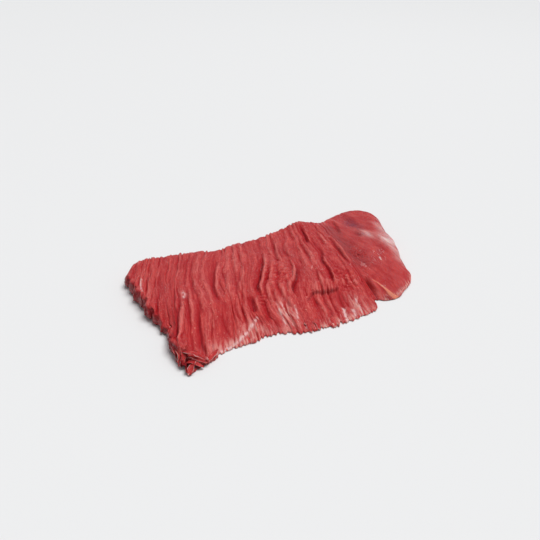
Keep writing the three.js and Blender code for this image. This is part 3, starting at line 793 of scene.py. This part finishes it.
def colour_masks(at):
    """Where each of the material's colours lies, from 0 to about 1."""
    x, y = at.x, at.y
    # Painted light and shade of the relief: higher bundles, raised lips, strands, pleats, crumples and the
    # crumpled ridge get a painted highlight, low places painted shade.
    painted_relief_light = 0.5 + 0.5 * (at.standing + 0.4) + 0.4 * at.lip + 0.25 * (at.strand - 0.75)
    painted_relief_light = painted_relief_light + at.pleated * (0.1 + 1.1 * at.fringe)
    painted_relief_light = painted_relief_light + 0.35 * bell(x, y, CRUMPLED_RIDGE_HIGHLIGHT) + 0.2 * at.wrinkled
    # Painted shade in the pit, in the dip by the fat, under the torn step and in the cavity under the
    # corner's lip.
    deep = bell(x, y, PIT_SHADE) + 0.9 * bell(x, y, FLAP_SHADE)
    deep = deep + 0.75 * beside_line(x, y, STEP_SHADOW_LINE, 0.7, 1.3)
    deep = deep + past_corner_lip(x, y) * bell(x, y, CORNER_SHADE)
    # A painted reflection along the lobe's right edge, and a painted glint.
    sheen = 0.35 * beside_line(x, y, LOBE_SHEEN, 4, 5) + bell(x, y, SHEEN_PEAK)
    sheen = sheen + 0.7 * bell(x, y, LOBE_GLOW)
    # Pale skin in streaks, with a painted glint on the lobe.
    streak = sum(beside_line(x, y, line, start, end) for start, end, line in SKIN_AND_GLINT_STREAKS)
    film = film_at(x, y, at.along, at.is_cut) + 0.8 * beside_line(x, y, LOBE_RIM, 2, 2)
    return {
        # Painted shade in the creases and the torn gaps.
        "groove": np.clip(np.maximum(0.8 * at.crease * at.rough, at.gap_dark) / 2, 0, 1),
        "painted_relief_light": np.clip(painted_relief_light, 0, 1.2),
        # Painted shade in the lines between the strands.
        "strand": np.clip(1 - at.strand, 0, 1) * at.rough * at.stringy,
        # The cut end: the deeper red of cross-cut fibres, with painted shade on its steep face.
        "cut_face": at.craggy,
        "lobe": smooth(at.row, NOTCH_ROW - 0.8, NOTCH_ROW + 0.9),
        "film": np.clip(film, 0, 1),
        "streak": np.clip(streak, 0, 1),
        "fat": beside_line(x, y, FAT_LINE, 0.6, 2.5),
        "hollow_tint": bell(x, y, HOLLOW_TINT),
        "deep": np.clip(deep, 0, 1),
        "sheen": np.clip(sheen, 0, 1),
        "shade": beside_line(x, y, LOBE_SHADE, 7, 9) + 0.28 * sum(bell(x, y, patch) for patch in DULLER),
    }


def run_round(points, is_under):
    """How far each point lies round its ring, measured from the far edge over the top."""
    steps = np.diff(points, axis=1, append=points[:, :1])
    run = np.cumsum(np.hypot(np.hypot(steps[..., 0], steps[..., 1]), steps[..., 2]), axis=1)
    run = np.concatenate([0 * run[:, :1], run], axis=1)
    start = np.argmax(~is_under)
    return run - run[:, start:start + 1]


def lay_slab(shape):
    """The slab's points, ring by ring, in millimetres, with the masks that its material reads."""
    at = lay_rings(shape.crease_depth / MM)
    add_strands(at)
    add_plan(at)
    add_standing(at)
    add_heights(at, shape.strand_depth / MM)
    shape_cut_end(at)
    points = np.stack([at.x, at.y, at.z], axis=-1) - CENTRE
    return points, at.place, run_round(points, at.is_under), colour_masks(at)


def make_tube(name, ring_count, side_count):
    """A closed tube of the right number of rings and sides, and the ring and side of each vertex."""
    bm = bmesh.new()
    bmesh.ops.create_cone(
        bm, cap_ends=True, cap_tris=True, segments=side_count, radius1=1, radius2=1, depth=2
    )
    lengthwise = [e for e in bm.edges if abs(e.verts[0].co.z - e.verts[1].co.z) > 1]
    bmesh.ops.subdivide_edges(bm, edges=lengthwise, cuts=ring_count - 2, use_grid_fill=False)
    mesh = bpy.data.meshes.new(name)
    bm.to_mesh(mesh)
    bm.free()
    co = np.zeros(len(mesh.vertices) * 3, np.float32)
    mesh.vertices.foreach_get("co", co)
    x, y, z = co.reshape(-1, 3).T
    ring = np.rint((z + 1) / 2 * (ring_count - 1)).astype(int)
    turn = np.arctan2(y, x) / (2 * math.pi) % 1
    side = np.rint(turn * side_count).astype(int) % side_count
    side[np.hypot(x, y) < 0.5] = -1
    return mesh, ring, side


MASKS = (
    "groove", "painted_relief_light", "strand", "cut_face", "lobe", "film",
    "streak", "fat", "hollow_tint", "deep", "sheen", "shade",
)


def set_mask(mesh, name, values):
    attribute = mesh.attributes.new(name, "FLOAT", "POINT")
    attribute.data.foreach_set("value", values.astype(np.float32))


def leaf_directions(line, share, lean):
    """A place on a leaf's line, and the directions across the leaf and up from it there."""
    last = len(line) - 1
    at = curve_through(line, np.array(share * last))
    ahead = curve_through(line, np.array(min(share + 0.02, 1) * last))
    behind = curve_through(line, np.array(max(share - 0.02, 0) * last))
    way = Vector(ahead - behind).normalized()
    flat = way.cross(Vector((0, 0, 1))).normalized()
    flat = (flat * math.cos(lean) + flat.cross(way) * math.sin(lean)).normalized()
    return Vector(at), flat, flat.cross(way)


def bend_leaf(number, leaf, ball_point):
    """Where a point of a ball goes on a leaf, how far across and along it, and its masks' values."""
    width, tilt, cup, pale, line = leaf
    x, y, z = ball_point
    share = 1 - math.acos(max(-1, min(1, z))) / math.pi
    turn = math.atan2(y, x)
    lean = math.radians(tilt) + LEAF_TWIST * math.sin(5 * share + number)
    at, flat, up = leaf_directions(np.array(line, float), share, lean)
    frill = float(grain(share * 5 + number * 3, math.cos(turn) * 0.8, 17))
    full = min(1, 4 * share, 2.4 * (1 - share)) ** 0.5 if 0 < share < 1 else 0
    across = -width * full * (1 + LEAF_FRILL * frill) * math.cos(turn)
    thick = LEAF_THICK * full * math.sin(turn)
    ripple = LEAF_RIPPLE * float(grain(share * 7 + number * 5, math.cos(turn) * 2, 18)) * full
    bend = cup * width * (across / width) ** 2
    place = (at + flat * across + up * (thick + bend + ripple) - Vector(CENTRE)) * MM
    # The rim gets pale skin with a painted highlight, the root by the body painted shade, and the frill
    # sets the leaf's share of the relief's painted light and shade.
    rim = max(smooth(abs(math.cos(turn)), 0.8, 1), smooth(share, 0.88, 1))
    return place, across, share, (pale * rim, 0.6 * (1 - smooth(share, 0, 0.35)), 0.5 + 0.4 * frill)


def make_leaves(name, leaves):
    """Thin curled leaves of torn meat: each is a ball, flattened and bent along its line."""
    bm = bmesh.new()
    uv = bm.loops.layers.uv.new("fibres")
    tones = {}
    for number, leaf in enumerate(leaves):
        ball = bmesh.ops.create_uvsphere(bm, u_segments=LEAF_SIDES, v_segments=LEAF_RINGS, radius=1)
        across, passed = {}, {}
        for vert in ball["verts"]:
            vert.co, across[vert], passed[vert], tones[vert] = bend_leaf(number, leaf, vert.co)
        steps = np.diff(np.array(leaf[-1], float)[:, :2], axis=0)
        long = float(np.hypot(*steps.T).sum())
        for face in {face for vert in across for face in vert.link_faces}:
            for loop in face.loops:
                place = across[loop.vert] + LEAF_MAP_GAP * number
                loop[uv].uv = (place / MAP_UNIT, passed[loop.vert] * long / MAP_UNIT)
    values = np.array([tones[vert] for vert in bm.verts])
    mesh = bpy.data.meshes.new(name)
    bm.to_mesh(mesh)
    bm.free()
    toned = dict(zip(("streak", "deep", "painted_relief_light"), values.T))
    for mask in MASKS:
        set_mask(mesh, mask, toned.get(mask, np.zeros(len(values))))
    return mesh


def set_fibre_map(mesh, ring, side, side_count, place, run):
    """A UV map in decimetres: across the fibres, and along them round the section."""
    corner_vertex = np.zeros(len(mesh.loops), np.int32)
    mesh.loops.foreach_get("vertex_index", corner_vertex)
    starts = np.zeros(len(mesh.polygons), np.int32)
    totals = np.zeros(len(mesh.polygons), np.int32)
    mesh.polygons.foreach_get("loop_start", starts)
    mesh.polygons.foreach_get("loop_total", totals)
    order = np.argsort(starts, kind="stable")
    face = np.repeat(order, totals[order])
    corner_side = side[corner_vertex]
    lowest = np.full(len(starts), side_count)
    highest = np.zeros(len(starts), int)
    np.minimum.at(lowest, face, corner_side)
    np.maximum.at(highest, face, corner_side)
    closes = (lowest[face] == 0) & (highest[face] == side_count - 1) & (corner_side == 0)
    across = place[ring[corner_vertex], np.maximum(corner_side, 0)]
    along = run[ring[corner_vertex], np.where(closes, side_count, np.maximum(corner_side, 0))]
    places = (np.stack([across, along], axis=1) / MAP_UNIT).ravel()
    mesh.uv_layers.new(name="fibres").data.foreach_set("uv", places.astype(np.float32))


def place_object(name, data):
    placed = bpy.data.objects.new(name, data)
    bpy.context.scene.collection.objects.link(placed)
    return placed


def finish_piece(mesh, material, body="root"):
    piece = place_object(mesh.name, mesh)
    mesh.materials.append(material)
    mesh.shade_smooth()
    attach(piece, body)
    return piece


class Web:
    """Adds shader nodes to a material and joins them."""

    def __init__(self, name):
        self.material = bpy.data.materials.new(name)
        self.material.use_nodes = True
        self.tree = self.material.node_tree
        self.tree.nodes.clear()

    def add(self, kind, inputs=None, **settings):
        node = self.tree.nodes.new(kind)
        for key, value in settings.items():
            setattr(node, key, value)
        for key, value in (inputs or {}).items():
            if isinstance(value, bpy.types.NodeSocket):
                self.tree.links.new(value, node.inputs[key])
            else:
                node.inputs[key].default_value = value
        return node

    def stretched(self, source, scale):
        return self.add("ShaderNodeMapping", {"Vector": source, "Scale": scale}).outputs[0]

    def noise(self, source, scale, detail=2.0, rough=0.5, twist=0.0):
        return self.add("ShaderNodeTexNoise", {
            "Vector": source, "Scale": scale, "Detail": detail, "Roughness": rough, "Distortion": twist,
        }).outputs["Fac"]

    def mask(self, name):
        return self.add("ShaderNodeAttribute", attribute_name=name).outputs["Fac"]

    def between(self, value, low, high, to_low=0.0, to_high=1.0):
        inputs = {"Value": value, "From Min": low, "From Max": high, "To Min": to_low, "To Max": to_high}
        node = self.add("ShaderNodeMapRange", inputs, interpolation_type="SMOOTHSTEP")
        return node.outputs["Result"]

    def plus(self, a, b):
        return self.add("ShaderNodeMath", {0: a, 1: b}, operation="ADD").outputs[0]

    def times(self, a, b):
        return self.add("ShaderNodeMath", {0: a, 1: b}, operation="MULTIPLY").outputs[0]

    def mixed(self, share, a, b):
        node = self.add("ShaderNodeMix", {"Factor": share}, data_type="RGBA")
        for socket, value in (("A_Color", a), ("B_Color", b)):
            target = next(i for i in node.inputs if i.identifier == socket)
            if isinstance(value, bpy.types.NodeSocket):
                self.tree.links.new(value, target)
            else:
                target.default_value = value
        return next(o for o in node.outputs if o.identifier == "Result_Color")

    def layered(self, colour, layers):
        """Layers over a colour, in order: how much of each shows, and its own colour."""
        for share, layer in layers:
            colour = self.mixed(share, colour, layer)
        return colour


def muscle_patterns(web):
    """The patterns that the colours and the bumps share."""
    fibres = web.add("ShaderNodeUVMap", uv_map="fibres").outputs[0]
    place = web.add("ShaderNodeTexCoord").outputs["Object"]
    slant = {"Vector": place, "Rotation": (0, 0, math.radians(-13))}
    slanted = web.add("ShaderNodeMapping", slant).outputs[0]

    def fibrous(across, along, detail, rough=0.5, twist=0.0):
        """A pattern with long marks along the fibres, which follow the second axis of the map."""
        return web.noise(web.stretched(fibres, (across, along, 1)), 1, detail, rough, twist)

    return SimpleNamespace(
        broad=fibrous(24, 4, 2, 0.5, 0.3),
        middle=fibrous(80, 11, 3, 0.6, 0.4),
        fine=fibrous(190, 40, 2, 0.6, 0.5),
        flecks=fibrous(120, 45, 1, 0.4, 0.2),
        skin=fibrous(65, 9, 2),
        streaks=fibrous(60, 22, 2),
        cloudy=web.noise(place, 60, 3, 0.55),
        blotchy=web.noise(place, 55, 2, 0.6),
        patchy=web.noise(place, 110, 2, 0.5),
        craggy=web.noise(place, 420, 4, 0.65),
        grainy=web.noise(place, 900, 2, 0.6),
        lines=web.noise(web.stretched(slanted, (650, 60, 200)), 1, 3, 0.6, 0.4),
    )


def bundle_colour(web, seen, colours, painted_relief_light):
    """Fibres in several reds, with pale flecks between them, painted shade in the valleys and a painted
    highlight on the crests.
    """
    # A painted highlight on the tops of the bundles.
    top = web.times(web.between(painted_relief_light, 0.62, 1.1), web.between(seen.middle, 0.3, 0.65, 0.25, 1))
    return web.layered(colours.dark[:], [
        (web.between(seen.broad, 0.3, 0.7), colours.lean[:]),
        (web.between(seen.middle, 0.42, 0.72), colours.bright[:]),
        (web.times(web.between(seen.fine, 0.48, 0.75), 0.65), colours.pale[:]),
        (web.times(web.between(seen.cloudy, 0.45, 0.75), 0.3), colours.bright[:]),
        (web.between(seen.blotchy, 0.52, 0.66, 0, 0.55), colours.dark[:]),
        (web.between(seen.flecks, 0.65, 0.78, 0, 0.75), colours.fleck[:]),
        # Painted shade in the low places, then the painted highlight on the tops.
        (web.between(painted_relief_light, 0.62, 0.15, 0, 0.85), colours.valley_shade[:]),
        (web.times(top, 0.8), colours.pale[:]),
    ])


def lobe_colour(web, seen, colours):
    return web.layered(colours.lobe[:], [
        (web.between(seen.lines, 0.4, 0.68), colours.bright[:]),
        (web.between(seen.patchy, 0.4, 0.6, 0.8, 0), colours.dark[:]),
    ])


def muscle_colour(web, seen, colours, masks):
    """The bundles and the lobe, with shade, skin, a painted sheen and glints, the cut end, painted shade
    in the gaps, and fat over them.
    """
    skin = web.times(masks["film"], web.between(seen.skin, 0.4, 0.6))
    white = web.times(masks["streak"], web.between(seen.streaks, 0.35, 0.55))
    # The cut end is painted dark: partly the deeper red of cross-cut fibres, partly painted shade on its
    # steep, tucked-in face.
    cut_end = web.layered(colours.deep[:], [(web.between(seen.craggy, 0.4, 0.7), colours.dark[:])])
    return web.layered(bundle_colour(web, seen, colours, masks["painted_relief_light"]), [
        (web.times(masks["lobe"], 0.8), lobe_colour(web, seen, colours)),
        (web.times(masks["shade"], web.between(seen.lines, 0.3, 0.6, 1, 0.5)), colours.shade[:]),
        (web.times(masks["hollow_tint"], web.between(seen.patchy, 0.3, 0.6, 0.9, 0.6)), colours.hollow_tint[:]),
        (web.times(skin, 0.85), colours.film[:]),
        # Pale skin streaks, the painted glint on the lobe, and the leaves' rims of pale skin with a
        # painted highlight.
        (web.times(white, 0.9), colours.sheen[:]),
        # The painted sheen on the lobe.
        (web.times(masks["sheen"], web.between(seen.lines, 0.36, 0.58, 0.35, 1)), colours.sheen[:]),
        (web.times(masks["cut_face"], 0.8), cut_end),
        # Painted shade between the strands, in the creases and gaps, in the pits, under the torn step and
        # under the corner's lip.
        (web.times(masks["strand"], 0.25), colours.valley_shade[:]),
        (web.between(masks["groove"], 0.3, 1.1, 0, 0.8), colours.deep[:]),
        (web.times(masks["deep"], 0.8), colours.deep[:]),
        (web.between(masks["fat"], 0.25, 0.75, 0, 0.9), colours.fat[:]),
    ])


def muscle_ripple(web, seen, masks):
    ripple = web.plus(web.times(seen.fine, 0.5), web.times(seen.middle, 0.9))
    ripple = web.plus(ripple, web.times(seen.grainy, 0.35))
    ripple = web.plus(ripple, web.times(web.times(seen.lines, masks["lobe"]), 0.6))
    ripple = web.plus(ripple, web.times(web.times(seen.craggy, masks["cut_face"]), 2.5))
    return web.add("ShaderNodeBump", {"Height": ripple, "Strength": 0.8, "Distance": 0.0008}).outputs[0]


def muscle_material(colours):
    """Raw muscle: stretched fibres in several reds, skin, fat and a wet gloss."""
    web = Web("wet_muscle")
    seen = muscle_patterns(web)
    masks = {name: web.mask(name) for name in MASKS}
    shader = web.add("ShaderNodeBsdfPrincipled", {
        "Base Color": muscle_colour(web, seen, colours, masks),
        "Roughness": web.between(seen.cloudy, 0.3, 0.7, 0.3, 0.46),
        "Normal": muscle_ripple(web, seen, masks),
        "IOR": 1.4, "Specular IOR Level": 0.25,
        "Subsurface Weight": 0.35, "Subsurface Radius": (1.0, 0.2, 0.12), "Subsurface Scale": 0.002,
        "Coat Weight": 0.4, "Coat Roughness": 0.2,
    })
    web.add("ShaderNodeOutputMaterial", {"Surface": shader.outputs[0]})
    return web.material


class SlabShape(bpy.types.PropertyGroup):
    crease_depth: FloatProperty(
        name="Crease depth", description="How deep the creases between the bundles are",
        default=0.0008, min=0, max=0.003, precision=5, unit="LENGTH",
    )
    strand_depth: FloatProperty(
        name="Strand depth", description="How deep the lines between the strands of a bundle are",
        default=0.0003, min=0, max=0.001, precision=5, unit="LENGTH",
    )


def colour(name, description, default):
    return FloatVectorProperty(
        name=name, description=description, subtype="COLOR", size=4, min=0, max=1, default=(*default, 1)
    )


class MeatColours(bpy.types.PropertyGroup):
    dark: colour("Dark lean", "The darker bundles", (0.42, 0.022, 0.027))
    lean: colour("Lean", "Most of the muscle", (0.53, 0.042, 0.042))
    bright: colour("Bright lean", "The brighter fibres", (0.60, 0.068, 0.062))
    # Pale fibres, and the painted highlight on the crests of the bundles.
    pale: colour("Pale fibres", "The crests of the bundles", (0.70, 0.17, 0.15))
    fleck: colour("Flecks", "The pale flecks between the fibres", (0.82, 0.38, 0.31))
    # Painted shade in the low places between the bundles and along the lines between the strands.
    valley_shade: colour("Valleys", "The low places between the bundles", (0.40, 0.008, 0.014))
    # Painted shade at the bottoms of the gaps, creases and pits, under the torn step and in the corner's
    # cavity; the dark cut end is partly this colour too.
    deep: colour("Deep gaps", "The bottoms of the gaps and the cut end", (0.20, 0.003, 0.008))
    lobe: colour("Lobe", "The smooth lobe", (0.47, 0.045, 0.045))
    shade: colour("Lobe shade", "The darker side of the lobe", (0.24, 0.014, 0.020))
    # Darker and bluer in the lobe's hollow.
    hollow_tint: colour("Hollow", "The hollow in the lobe", (0.20, 0.04, 0.065))
    film: colour("Skin", "The thin whitish skin", (0.76, 0.36, 0.32))
    # Pale skin streaks, the painted sheen and glints on the lobe, and the painted highlight on the leaves'
    # rims.
    sheen: colour("Sheen", "The palest skin on the lobe", (0.83, 0.56, 0.54))
    fat: colour("Fat", "The strip of fat", (0.76, 0.25, 0.16))


class StageLook(bpy.types.PropertyGroup):
    floor: colour("Floor", "The floor", (0.80, 0.80, 0.80))
    key: FloatProperty(
        name="Overhead light", description="Strength of the light from above", default=2.65, min=0,
    )
    glint: FloatProperty(
        name="Back light", description="Power of the small light behind", default=0.4, min=0,
        unit="POWER",
    )
    sky: FloatProperty(
        name="Sky", description="Strength of the light from all round", default=0.3, min=0,
    )


class STEAK_OT_slab(bpy.types.Operator):
    """Make the slab of muscle, with its lobe and its torn corner"""

    bl_idname = "steak.slab"
    bl_label = "Slab of muscle"

    def execute(self, context):
        scene = context.scene
        points, place, run, masks = lay_slab(scene.slab_shape)
        ring_count, side_count = points.shape[:2]
        mesh, ring, side = make_tube("muscle_slab", ring_count, side_count)
        middle = points.mean(axis=1)
        at = np.where((side >= 0)[:, None], points[ring, side], middle[ring])
        mesh.vertices.foreach_set("co", (at * MM).ravel().astype(np.float32))
        for name, values in masks.items():
            values = np.broadcast_to(values, points.shape[:2])
            set_mask(mesh, name, values[ring, side])
        set_fibre_map(mesh, ring, side, side_count, place, run)
        mesh.update()
        piece = finish_piece(mesh, muscle_material(scene.meat_colours))
        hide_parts(NODE)
        return {"FINISHED"}


class STEAK_OT_leaves(bpy.types.Operator):
    """Make the curled leaves of meat at the torn corner"""

    bl_idname = "steak.leaves"
    bl_label = "Torn leaves"

    def execute(self, context):
        mesh = make_leaves("torn_leaves", LEAVES)
        finish_piece(mesh, bpy.data.materials["wet_muscle"])
        return {"FINISHED"}


def make_floor(floor_colour):
    bm = bmesh.new()
    bmesh.ops.create_grid(bm, x_segments=1, y_segments=1, size=FLOOR_REACH)
    mesh = bpy.data.meshes.new("floor")
    bm.to_mesh(mesh)
    bm.free()
    floor = place_object("floor", mesh)
    web = Web("pale_floor")
    shader = web.add("ShaderNodeBsdfPrincipled", {"Base Color": floor_colour, "Roughness": 0.75})
    web.add("ShaderNodeOutputMaterial", {"Surface": shader.outputs[0]})
    mesh.materials.append(web.material)


def add_overhead_light(strength):
    """A broad light from above, which leaves no glints."""
    sun = bpy.data.lights.new("overhead_light", "SUN")
    sun.energy = strength
    sun.angle = OVERHEAD_SPREAD
    overhead = place_object("overhead_light", sun)
    overhead.visible_glossy = False
    overhead.rotation_euler = Vector(OVERHEAD_FROM).to_track_quat("Z", "Y").to_euler()


def add_back_light(power):
    """A small soft light that points at the middle of the slab and makes the glints."""
    light = bpy.data.lights.new("back_light", "AREA")
    light.energy = power
    light.size = BACK_LIGHT_SIZE
    lamp = place_object("back_light", light)
    lamp.location = BACK_LIGHT_AT
    lamp.rotation_euler = (-Vector(BACK_LIGHT_AT)).to_track_quat("-Z", "Y").to_euler()


def add_sky(scene, strength):
    world = bpy.data.worlds.new("soft_sky")
    world.use_nodes = True
    sky = world.node_tree.nodes["Background"]
    sky.inputs["Color"].default_value = SKY_COLOUR
    sky.inputs["Strength"].default_value = strength
    scene.world = world


def add_camera(scene):
    lens = bpy.data.cameras.new("camera")
    lens.sensor_width = SENSOR
    lens.lens = LENS_PIXELS / PICTURE_PIXELS * SENSOR
    lens.clip_start = 0.01
    camera = place_object("camera", lens)
    looks, right = Vector(CAMERA_LOOKS), Vector(CAMERA_RIGHT)
    turn = Matrix((right, right.cross(looks), -looks)).transposed().to_4x4()
    camera.matrix_world = Matrix.Translation(Vector(np.array(CAMERA_AT) - CENTRE) * MM) @ turn
    scene.camera = camera


class STEAK_OT_stage(bpy.types.Operator):
    """Make the floor, the lights and the camera"""

    bl_idname = "steak.stage"
    bl_label = "Stage"

    def execute(self, context):
        scene = context.scene
        look = scene.stage_look
        make_floor(look.floor[:])
        add_overhead_light(look.key)
        add_back_light(look.glint)
        add_sky(scene, look.sky)
        scene.view_settings.view_transform = "Standard"
        add_camera(scene)
        return {"FINISHED"}


class VIEW3D_PT_steak(bpy.types.Panel):
    bl_label = "Raw skirt steak"
    bl_space_type = "VIEW_3D"
    bl_region_type = "UI"
    bl_category = "Steak"

    def draw(self, context):
        layout = self.layout
        scene = context.scene
        for title, group, operators in (
            ("Meat", scene.slab_shape, ("steak.slab", "steak.leaves")),
            ("Colours", scene.meat_colours, ()),
            ("Stage", scene.stage_look, ("steak.stage",)),
        ):
            box = layout.box()
            box.label(text=title)
            for name in group.__annotations__:
                box.prop(group, name)
            for operator in operators:
                box.operator(operator)


CLASSES = (
    SlabShape, MeatColours, StageLook,
    STEAK_OT_slab, STEAK_OT_leaves, STEAK_OT_stage, VIEW3D_PT_steak,
)


def register():
    for each in CLASSES:
        bpy.utils.register_class(each)
    bpy.types.Scene.slab_shape = PointerProperty(type=SlabShape)
    bpy.types.Scene.meat_colours = PointerProperty(type=MeatColours)
    bpy.types.Scene.stage_look = PointerProperty(type=StageLook)


def unregister():
    del bpy.types.Scene.stage_look
    del bpy.types.Scene.meat_colours
    del bpy.types.Scene.slab_shape
    for each in reversed(CLASSES):
        bpy.utils.unregister_class(each)


def main():
    register()
    bpy.ops.steak.slab()
    bpy.ops.steak.leaves()
    bpy.ops.steak.stage()


if __name__ == "__main__":
    main()
